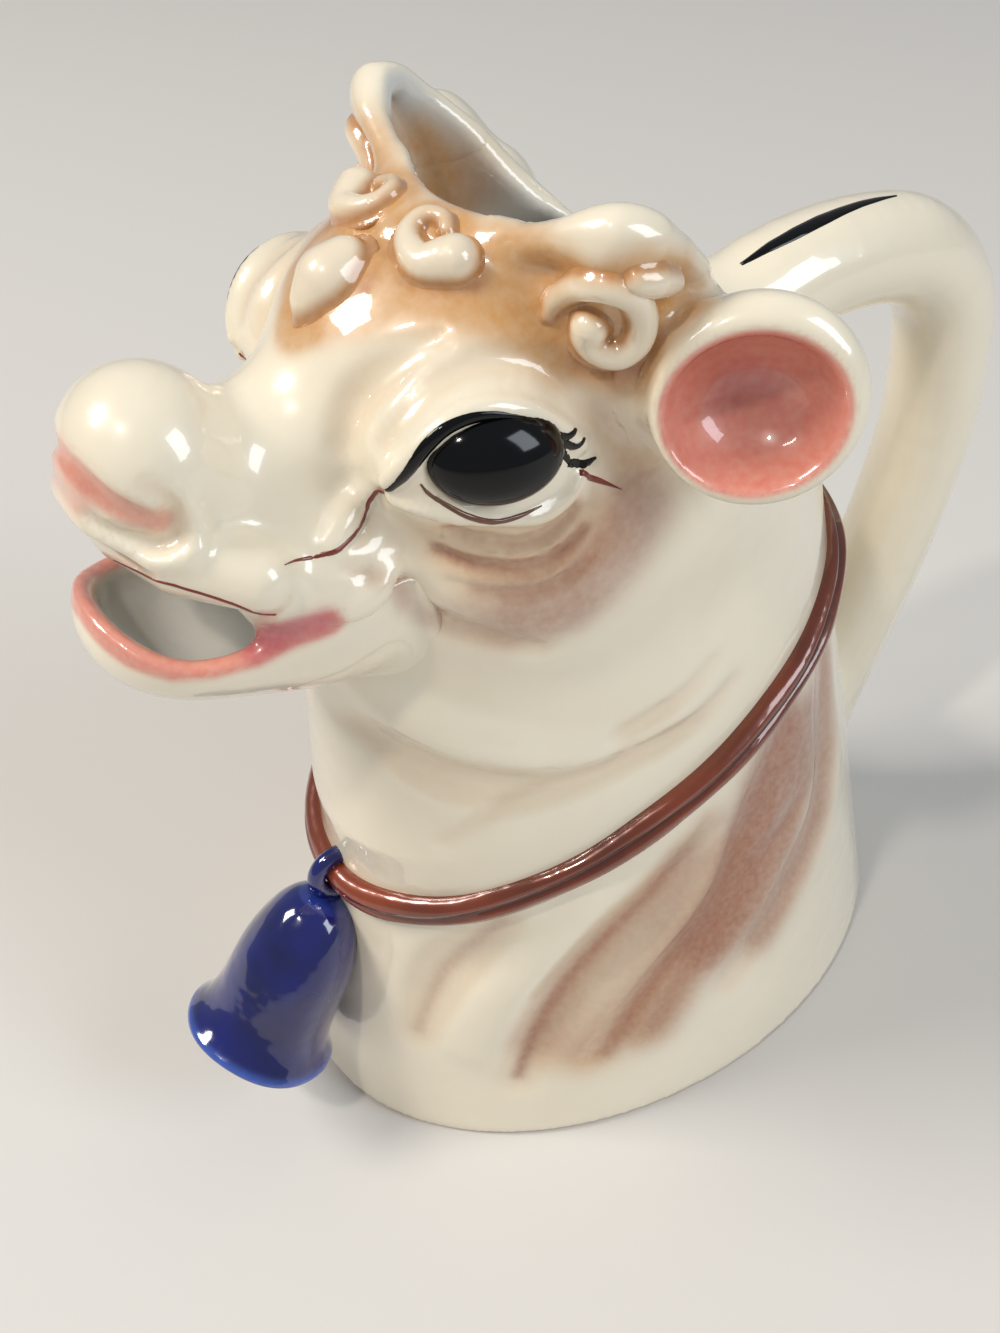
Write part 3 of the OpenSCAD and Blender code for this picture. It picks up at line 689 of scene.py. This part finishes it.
# Handle
#
# The loop handle, a pulled round strap of the same clay. It is luted at the back
# of the head and low on the nape, with its joints smoothed over.
HANDLE_LINE = smooth_line(
    [(0, 8, 101), (0, 23, 106), (0, 33, 107), (0, 42, 106), (0, 48, 104), (0, 53, 100),
     (0, 56.5, 95), (0, 58.3, 88), (0, 59, 73), (0, 55.5, 56), (0, 50, 40), (0, 43, 22)], 3)
HANDLE_RADII = (7.3, 7.0, 7.0, 6.9, 6.9, 7.0, 7.2)
IN_WALL = 1.4  # how far a luted piece stays from the room inside


def handle_form(p):
    return strand(p, HANDLE_LINE, tapered(HANDLE_LINE, *HANDLE_RADII))


def luted(p, form, blend, reach):
    """A piece luted onto the body: it runs out into the skin, up to its reach away, and
    is closed inside the wall."""
    own = form(p)
    d = join(own, body_form(p) + SUNK, blend)
    return np.maximum(np.maximum(d, own - reach), IN_WALL - hollow_form(p))


clay = Clay((0, 2, 8), (15, 70, 118), 0.7 if FINE else 1.0)
clay.d = luted(clay.points(), handle_form, blend=6.0, reach=5.5)
handle_clay = clay
glazed("loop_handle", *clay.skin(), "handle")


# Ears
#
# Cupped ears with a thick soft edge, cast by themselves and luted to the temples.
# Their inside is brushed with coral underglaze, in arcs that still show, and the rose of
# the arcs also deepens it as painted shade.
EAR = np.array((31.9, -7.8, 116.6))
EAR_OUT = np.array((0.8, -0.55, 0.2)) / np.linalg.norm((0.8, -0.55, 0.2))
EAR_UP = np.cross(np.cross(EAR_OUT, (0, 0, 1)), EAR_OUT)
EAR_UP /= np.linalg.norm(EAR_UP)
EAR_SIDE = np.cross(EAR_OUT, EAR_UP)
EAR_ROOT = [(15, -4, 113), tuple(EAR - 9.0 * EAR_OUT), tuple(EAR - 4.5 * EAR_OUT + 0.6 * EAR_UP)]
EAR_ROOT_RADII = [6.0, 8.2, 9.2]
EAR_DISC, EAR_FLAT = (9.9, 10.0, 5.0), 1.6
EAR_CUP, CUP_OUT, CUP_DEEP = (9.0, 8.0, 8.8), 2.6, 6.2
ARC_RADII = (2.2, 3.8, 5.4, 7.0)
PINK_EDGE, PINK_SOFT, PINK_MOST = 0.9, 0.5, 0.97


def ear_cup(p):
    """The hollow of the ear."""
    return egg(p, EAR + CUP_OUT * EAR_OUT, EAR_CUP, (EAR_OUT, EAR_UP, EAR_SIDE))


def ear_form(p):
    q = [p[i] - EAR[i] for i in range(3)]
    out, up, side = (sum(q[i] * v[i] for i in range(3)) for v in (EAR_OUT, EAR_UP, EAR_SIDE))
    disc = egg((side, up, out), (-1.0, 0.8, -1.5), EAR_DISC)
    d = carve(join(strand(p, EAR_ROOT, EAR_ROOT_RADII), disc, 4), EAR_FLAT - out, 2.4)
    return carve(d, ear_cup(p), 1.6)


def mirrored(points, faces):
    """The same on the cow's right, still facing outwards."""
    return np.asarray(points) * (-1, 1, 1), np.asarray(faces)[:, ::-1]


clay = Clay((10, -24, 98), (40, 12, 134), 0.45 if FINE else 0.7)
clay.d = luted(clay.points(), ear_form, blend=3.5, reach=3.4)
points, faces = clay.skin(both=False)
# arcs of the brush in rose, which also darken the cup as painted shade
for r in ARC_RADII:
    arc = [EAR - CUP_DEEP * EAR_OUT + (r * math.cos(t) - 1) * EAR_SIDE
           + (r * math.sin(t) - 1.5) * EAR_UP for t in np.radians(range(20, 200, 15))]
    ROSE.append((arc, 0.0, 0.75, 0.45))
pink = np.clip((PINK_EDGE - ear_cup(columns(points))) / PINK_SOFT, 0, 1) * PINK_MOST
glazed("left_ear", points, faces, "ear_left", coral=pink)
glazed("right_ear", *mirrored(points, faces), "ear_right", coral=pink)


# Horns
#
# Two blunt horns of the same clay, luted to the edge of the crown and rolled over
# like a lip, with the joint smoothed away.
HORN_REACH = (19, -12, 131), (9.5, 11.5, 10)
HORN_PROUD, HORN_SUNK = 0.05, 0.5  # over the head's skin, and under it at the joint

clay = Clay((4, -30, 108), (30, 8, 141), 0.45 if FINE else 0.7)
p = clay.points()
around = egg(p, *HORN_REACH)
clay.d = carve(body_form(p), hollow_form(p), CUT_ROUND)
joint = np.clip(around / 3 + 1, 0, 1) ** 2
clay.d = np.maximum(clay.d - HORN_PROUD + HORN_SUNK * joint, around)
points, faces = clay.skin(both=False)
glazed("left_horn", points, faces, "horn_left")
glazed("right_horn", *mirrored(points, faces), "horn_right")


# Curls
#
# Small curls of clay sprigged onto the forehead and temples with slip: one in the
# middle, ring curls beside it, spirals over the temples and a knob behind each.
# Their colour is tan at their feet, orange-brown where it is strongest, and fades to cream on their
# tops.
TAN_HIGH, TAN_LEAST, TAN_MOST = 1.3, 0.15, 0.95


def curl(name, line, radii, both=True, high=0.25):
    """A roll of clay laid along a line on the skin, tan at its foot and cream on top."""
    on = laid(line, body_form, high)
    small = Clay(on.min(0) - 6, on.max(0) + 6, 0.3 if FINE else 0.5)
    small.d = luted(small.points(), lambda p: strand(p, on, tapered(on, *radii)), blend=0.9,
                    reach=1.0)
    points, faces = small.skin(both=False)
    foot = np.clip(1.3 - body_form(columns(points)) / TAN_HIGH, TAN_LEAST, TAN_MOST)
    left, right = ("_left", "_right") if both else ("", "")
    glazed(name + "_curl" + left, points, faces, "curl_" + name + left, "tan_glaze", tan=foot)
    if both:
        glazed(name + "_curl" + right, *mirrored(points, faces), "curl_" + name + right,
               "tan_glaze", tan=foot)


curl("ring", RING, (2.5, 1.9, 1.4, 1.1, 1.0, 0.9, 0.8))
curl("spiral", SPIRAL, (0.7, 1.2, 1.4, 1.5, 1.5, 1.5, 1.5, 1.5, 1.5, 1.4, 1.5, 1.9))
curl("knob", KNOB, (1.3, 1.7, 1.3))
curl("middle", [(0, -33.4, 127.2), (0, -34.8, 125.6), (0, -36.4, 123.6), (0, -37.6, 121.8)],
     (2.8, 3.5, 2.4, 0.8), both=False, high=-0.4)


# Eyes
#
# Domed eyes of the same clay, pressed into their sockets under the lids of the cast
# head, and covered with black enamel that is fired on at a low heat.
EYE_RADII = (3.9, 6.8, 4.9)
EYE_RAISED = (0, 0, 0.2)

# Black enamel: a deep black with small sharp lights, and less glare than a glaze
# over white has.
black = glaze("black_enamel", "#060608", rough=0.1, wave=0.1, mottle=0.1, coat=0.0, ior=1.38)


def taken(primitive):
    """The points and faces of a new primitive, which itself is removed."""
    mesh = primitive.data
    points, faces = [v.co.copy() for v in mesh.vertices], [list(f.vertices) for f in mesh.polygons]
    bpy.data.objects.remove(primitive)
    bpy.data.meshes.remove(mesh)
    return points, faces


bpy.ops.mesh.primitive_uv_sphere_add(segments=64, ring_count=32, radius=1)
ball, faces = taken(bpy.context.object)
points = np.array(ball) * EYE_RADII @ EYE_AXES + EYE + EYE_RAISED
new_piece("left_eye", points, faces, black, "black_glaze", "eye_left")
new_piece("right_eye", points * (-1, 1, 1), [f[::-1] for f in faces],
          black, "black_glaze", "eye_right")


# Collar
#
# A thick cord of clay round the neck, over the seam where the head is luted on. It
# is pressed so that it shows strands, and painted in a reddish-brown lustre.
COLLAR_WIDE, COLLAR_LONG = 26.62, 41.37  # half the width and the length of its oval
CORD, CORD_FLAT = 2.65, 0.85
TWIST = 0.1  # the strands' twist shows as a ripple this high
# each crease: its depth, its angle in degrees, how far and how many times it sways,
# and the depth at which it is darkest
CREASES = ((0.75, 25, 0.15, 4, 0.6), (0.4, 322, 0.12, 3, 0.5))
CREASE_WIDE = 9
TURNS = 240 if FINE else 120
AROUND = 36

# Reddish-brown lustre: a warm brown with a faint metal sheen, darker in the creases
# between the strands, the more the deeper they are.
brown = glaze("red_brown_lustre", "#8e3d1b", rough=0.25, wave=0.6, mottle=0.5, metal=0.15,
              layers=(("groove", "#43190f", 0.85),))

up = np.array(COLLAR_UP)
ahead = np.array((0, math.cos(COLLAR_SLOPE), math.sin(COLLAR_SLOPE)))
side = np.array((1, 0, 0))
points, grooves = [], []
for i in range(TURNS):
    t = 2 * math.pi * i / TURNS
    middle = COLLAR_WIDE * math.cos(t) * side + COLLAR_LONG * math.sin(t) * ahead + COLLAR
    out = np.cross(-COLLAR_WIDE * math.sin(t) * side + COLLAR_LONG * math.cos(t) * ahead, up)
    out /= np.linalg.norm(out)
    for k in range(AROUND):
        a = 2 * math.pi * k / AROUND
        r, dark = CORD + TWIST * math.sin(13 * t + 2 * a), 0
        for deep, angle, sway, times, full in CREASES:
            off = math.degrees(a + sway * math.sin(times * t)) - angle
            crease = deep * math.exp(-(off / CREASE_WIDE) ** 2)
            r, dark = r - crease, dark + crease / full
        points.append(middle + r * CORD_FLAT * math.cos(a) * out + r * math.sin(a) * up)
        grooves.append(min(dark, 1))
faces = [[i * AROUND + k, (i + 1) % TURNS * AROUND + k, (i + 1) % TURNS * AROUND + (k + 1) % AROUND,
          i * AROUND + (k + 1) % AROUND] for i in range(TURNS) for k in range(AROUND)]
keep(new_piece("collar_cord", points, faces, brown, "brown_lustre", "collar"), "groove", grooves)


# Bell
#
# A hollow bell with a flared mouth and the ring that hangs it from the collar.
# Both are cast clay, luted to the chest and glazed deep blue.
BELL_TOP = Vector((0, -45.6, 38.3))
BELL_TURN = math.radians(180 - 32)
BELL_OUTSIDE = [(0.0, 0.0), (1.6, 0.1), (3.2, 0.6), (4.8, 1.9), (6.2, 4.2), (7.3, 7.4), (8.1, 11.4),
                (8.4, 15.5), (8.6, 19.2), (9.2, 22.2), (10.2, 24.1), (10.75, 25.0), (10.6, 25.6)]
BELL_INSIDE = [(9.4, 25.3), (8.2, 23.4), (7.0, 19.5), (6.6, 13.0), (5.6, 7.5), (3.2, 3.6),
               (0.0, 2.4)]
BELL_LIP, BELL_THIN = 25.1, 1.1  # how far below its top the glaze has run thin, and how wide
BELL_UNEVEN = 0.012, 0.01  # how far it is out of round, as parts of its radius
SPOKES = 96 if FINE else 48
RING_PLACE = Vector((0, -43.6, 41.6))
RING_RADIUS, RING_THICK = 3.3, 1.25

# Cobalt glaze: a deep blue that pools darker and lighter, and breaks to a pale
# blue where it has run thin at the bell's lip.
blue = glaze("cobalt_glaze", "#0b1770", rough=0.12, wave=0.5, mottle=0.75,
             layers=(("pale", "#4f72d2", 0.75),))

turn = Matrix.Translation(BELL_TOP) @ Matrix.Rotation(BELL_TURN, 4, "X")
profile = smooth_line([(r, 0, down) for r, down in BELL_OUTSIDE + BELL_INSIDE], 4)
points, thin = [], []
for r, _, down in profile:
    for k in range(SPOKES):
        a = 2 * math.pi * k / SPOKES
        uneven = (BELL_UNEVEN[0] * math.sin(3 * a + 1.0) * min(down / 20, 1)
                  + BELL_UNEVEN[1] * math.sin(5 * a))
        wide = max(r, 0.001) * (1 + uneven)
        points.append(list(turn @ Vector((wide * math.cos(a), wide * math.sin(a), down))))
        thin.append(max(1 - abs(down - BELL_LIP) / BELL_THIN, 0) * 0.9 + 0.25 * (down < 1))
faces = [[(i + 1) * SPOKES + k, (i + 1) * SPOKES + (k + 1) % SPOKES, i * SPOKES + (k + 1) % SPOKES,
          i * SPOKES + k] for i in range(len(profile) - 1) for k in range(SPOKES)]
keep(new_piece("blue_bell", points, faces, blue, "cobalt_glaze", "bell"), "pale", thin)

bpy.ops.mesh.primitive_torus_add(major_segments=48, minor_segments=20, major_radius=RING_RADIUS,
                                 minor_radius=RING_THICK)
ring, faces = taken(bpy.context.object)
turn = Matrix.Translation(RING_PLACE) @ Matrix.Rotation(math.radians(90), 4, "Y")
new_piece("bell_ring", [list(turn @ v) for v in ring], faces, blue, "cobalt_glaze", "bell_loop")


# Painted lines
#
# Thin lines of enamel brushed on the glaze and fired again: the lids and lashes,
# the creases of the face, and the stripe on the handle.
ACROSS = 5  # points over the width of a line
LINE_HIGH, LINE_SUNK, LINE_RAISED = 0.09, 0.12, 0.02

# Brown and red-brown enamel: thin lines, less glossy than the glaze round them.
line_brown = glaze("brown_enamel", "#6a4028", rough=0.2, wave=0.1, coat=0.3)
line_red = glaze("red_brown_enamel", "#7c2f22", rough=0.2, wave=0.1, coat=0.3)


def brushed(name, clay, lines, material, slot, both=True):
    """Closed brush lines that lie on a skin, each with its widths in millimetres."""
    points, faces = [], []
    for line, widths in lines:
        q = smooth_line(line, 8)
        for _ in range(5):
            g = np.stack([clay.at(q + e) - clay.at(q - e) for e in 0.3 * np.eye(3)], 1)
            g /= np.linalg.norm(g, axis=1, keepdims=True) + 1e-9
            q = q - clay.at(q)[:, None] * g
        side = np.cross(np.gradient(q, axis=0), g)
        side /= np.linalg.norm(side, axis=1, keepdims=True) + 1e-9
        half = np.array(tapered(q, *widths)) / 2
        base, n = len(points), len(q)
        for top in (True, False):
            for s in np.linspace(-1, 1, ACROSS):
                row = q + side * (half * s)[:, None]
                row = row - clay.at(row)[:, None] * g
                high = LINE_HIGH * math.sqrt(max(1 - s * s, 0)) if top else -LINE_SUNK
                points.extend((row + (high + LINE_RAISED) * g).tolist())
        grid = base + np.arange(2 * ACROSS * n).reshape(2, ACROSS, n)
        above, below = grid.tolist()
        last = ACROSS - 1
        for i in range(n - 1):
            for j in range(last):
                faces.append([above[j][i], above[j][i + 1], above[j + 1][i + 1], above[j + 1][i]])
                faces.append([below[j][i], below[j + 1][i], below[j + 1][i + 1], below[j][i + 1]])
            faces.append([above[0][i], below[0][i], below[0][i + 1], above[0][i + 1]])
            faces.append([above[last][i], above[last][i + 1], below[last][i + 1], below[last][i]])
        for i, flip in ((0, 1), (n - 1, -1)):
            loop = [row[i] for row in above] + [row[i] for row in reversed(below)]
            faces.append(loop[::flip])
    points = np.array(points)
    new_piece(name + ("_left" if both else ""), points, faces, material, slot)
    if both:
        new_piece(name + "_right", points * (-1, 1, 1), [f[::-1] for f in faces], material, slot)


# the upper lid, then its three lashes
brushed("lid_line", head_clay, [
    ([(16.6, -39.1, 112.4), (18.2, -38.4, 114), (19.2, -37.4, 116), (19.7, -36.3, 117.6),
      (20.2, -34.8, 118.9), (20.7, -33, 119.5), (21.1, -31, 119.5), (21.6, -29, 118.9),
      (22.1, -27, 117.7), (22.4, -25.2, 116), (21.8, -22.8, 113.2), (21.4, -21, 110.2)],
     (0.6, 1.1, 1.3, 1.4, 1.3, 1.2, 1.1, 1.1, 1.1, 1.2, 1.2, 0.5)),
    ([(22, -24.4, 115.6), (21.6, -22.4, 114.6), (21.4, -20.9, 114.4)], (1.3, 1.1, 0.3)),
    ([(21.9, -23.2, 114), (21.5, -21.4, 112.9), (21.2, -19.9, 112.8)], (1.3, 1.1, 0.3)),
    ([(21.5, -21.4, 110.8), (21.4, -19.6, 109.8), (21.3, -18, 109.9)], (1.1, 1.1, 0.3)),
], black, "black_glaze")
# the lower lid
brushed("crease_line", head_clay, [
    ([(19.1, -36.9, 113.4), (19.5, -36.3, 112.3), (20.5, -35, 110.9), (21.5, -33.3, 109.5),
      (22, -30.8, 108.1), (22.1, -28, 107.6), (22, -25.2, 107.6)],
     (0.2, 0.4, 0.5, 0.6, 0.6, 0.5, 0.15))], line_brown, "black_glaze")
# the eye's outer corner, the crease of the muzzle, and the upper lip
brushed("muzzle_line", head_clay, [
    ([(21.4, -20.4, 109), (21.8, -18.2, 107.6), (22.5, -15.9, 106)], (0.7, 0.6, 0.1)),
    ([(15.7, -39, 111.4), (13.5, -39.2, 109), (12.4, -39.6, 107.6), (13, -40.8, 106.3),
      (13.7, -43, 105.7), (13.7, -45.3, 105.4), (13.4, -47.9, 105.7), (14, -49.8, 106.2)],
     (0.3, 0.6, 0.6, 0.7, 0.6, 0.5, 0.3, 0.1)),
    ([(3, -62.4, 105.7), (6.2, -61.4, 105.9), (9.5, -60.1, 106), (11, -58.3, 105.3),
      (12.4, -56.5, 104.5), (13.8, -54.2, 103.2), (14, -51.3, 101)],
     (0.1, 0.3, 0.35, 0.35, 0.4, 0.5, 0.5))], line_red, "coral_glaze")
brushed("handle_stripe", handle_clay, [
    ([(1.4, 17.5, 111.6), (1.6, 22.1, 112.8), (1.7, 25.5, 113.4), (1.5, 29.8, 113.8),
      (1.2, 34.3, 113.9), (0.9, 39, 113.5), (0.7, 43, 112.6)],
     (0.5, 1.5, 1.8, 1.8, 1.4, 1.0, 0.3))], black, "black_glaze", both=False)


# Floor
#
# A plain pale floor, matt like paper, which isn't part of the object.
FLOOR_ACROSS = 6

bpy.ops.mesh.primitive_plane_add(size=FLOOR_ACROSS)
floor = bpy.context.object
floor.name = "floor"
pale = bpy.data.materials.new("pale_floor")
pale.use_nodes = True
shader = pale.node_tree.nodes["Principled BSDF"]
shader.inputs["Base Color"].default_value = linear("#d8d4ce")
shader.inputs["Roughness"].default_value = 0.6
floor.data.materials.append(pale)


# Light
#
# Soft studio light: a faint even sky, a warm key lamp in front, a cool window
# lamp behind, and a small round bulb that gives the gloss its sharp lights.
AIM = Vector((0, 0, 0.08))

world = bpy.data.worlds.new("studio")
bpy.context.scene.world = world
world.use_nodes = True
sky = world.node_tree.nodes["Background"]
sky.inputs["Color"].default_value = (0.80, 0.84, 0.9, 1)
sky.inputs["Strength"].default_value = 0.36


def lamp(name, place, wide, tall, power, colour, shape="RECTANGLE"):
    """A flat soft lamp that points at the jug."""
    light = bpy.data.lights.new(name, "AREA")
    light.shape = shape
    light.size, light.size_y = wide, tall
    light.energy = power
    light.color = colour
    holder = bpy.data.objects.new(name, light)
    holder.location = place
    holder.rotation_euler = (AIM - Vector(place)).to_track_quat("-Z", "Y").to_euler()
    bpy.context.collection.objects.link(holder)


lamp("key", (-0.45, -0.75, 1.0), 0.4, 0.4, 10, (1.0, 0.96, 0.9))
lamp("window", (0.9, 0.55, 0.75), 0.5, 0.7, 7, (0.86, 0.93, 1.0))
lamp("bulb", (0.15, -0.55, 0.95), 0.07, 0.07, 2.4, (1.0, 0.93, 0.84), "DISK")


# Camera
#
# The camera stands where the photograph was taken. Its place and turn were fitted
# to the outline of the foot, the collar and the handle.
SENSOR = 36  # millimetres
FOCAL, FRAME_HIGH = 1399.6, 1333  # in pixels of the photograph
CAMERA_PLACE = (0.1132, -0.08833, 0.18954)
CAMERA_RIGHT = (0.5533, 0.8326, -0.0245)
CAMERA_UP = (-0.558, 0.3923, 0.7313)
CAMERA_BACK = (0.6185, -0.3909, 0.6817)

lens = bpy.data.cameras.new("camera")
lens.sensor_width = SENSOR
lens.lens = FOCAL / FRAME_HIGH * SENSOR
camera = bpy.data.objects.new("camera", lens)
turn = Matrix((CAMERA_RIGHT, CAMERA_UP, CAMERA_BACK)).transposed().to_4x4()
camera.matrix_world = Matrix.Translation(CAMERA_PLACE) @ turn
bpy.context.collection.objects.link(camera)
bpy.context.scene.camera = camera
bpy.context.scene.view_settings.view_transform = "Standard"
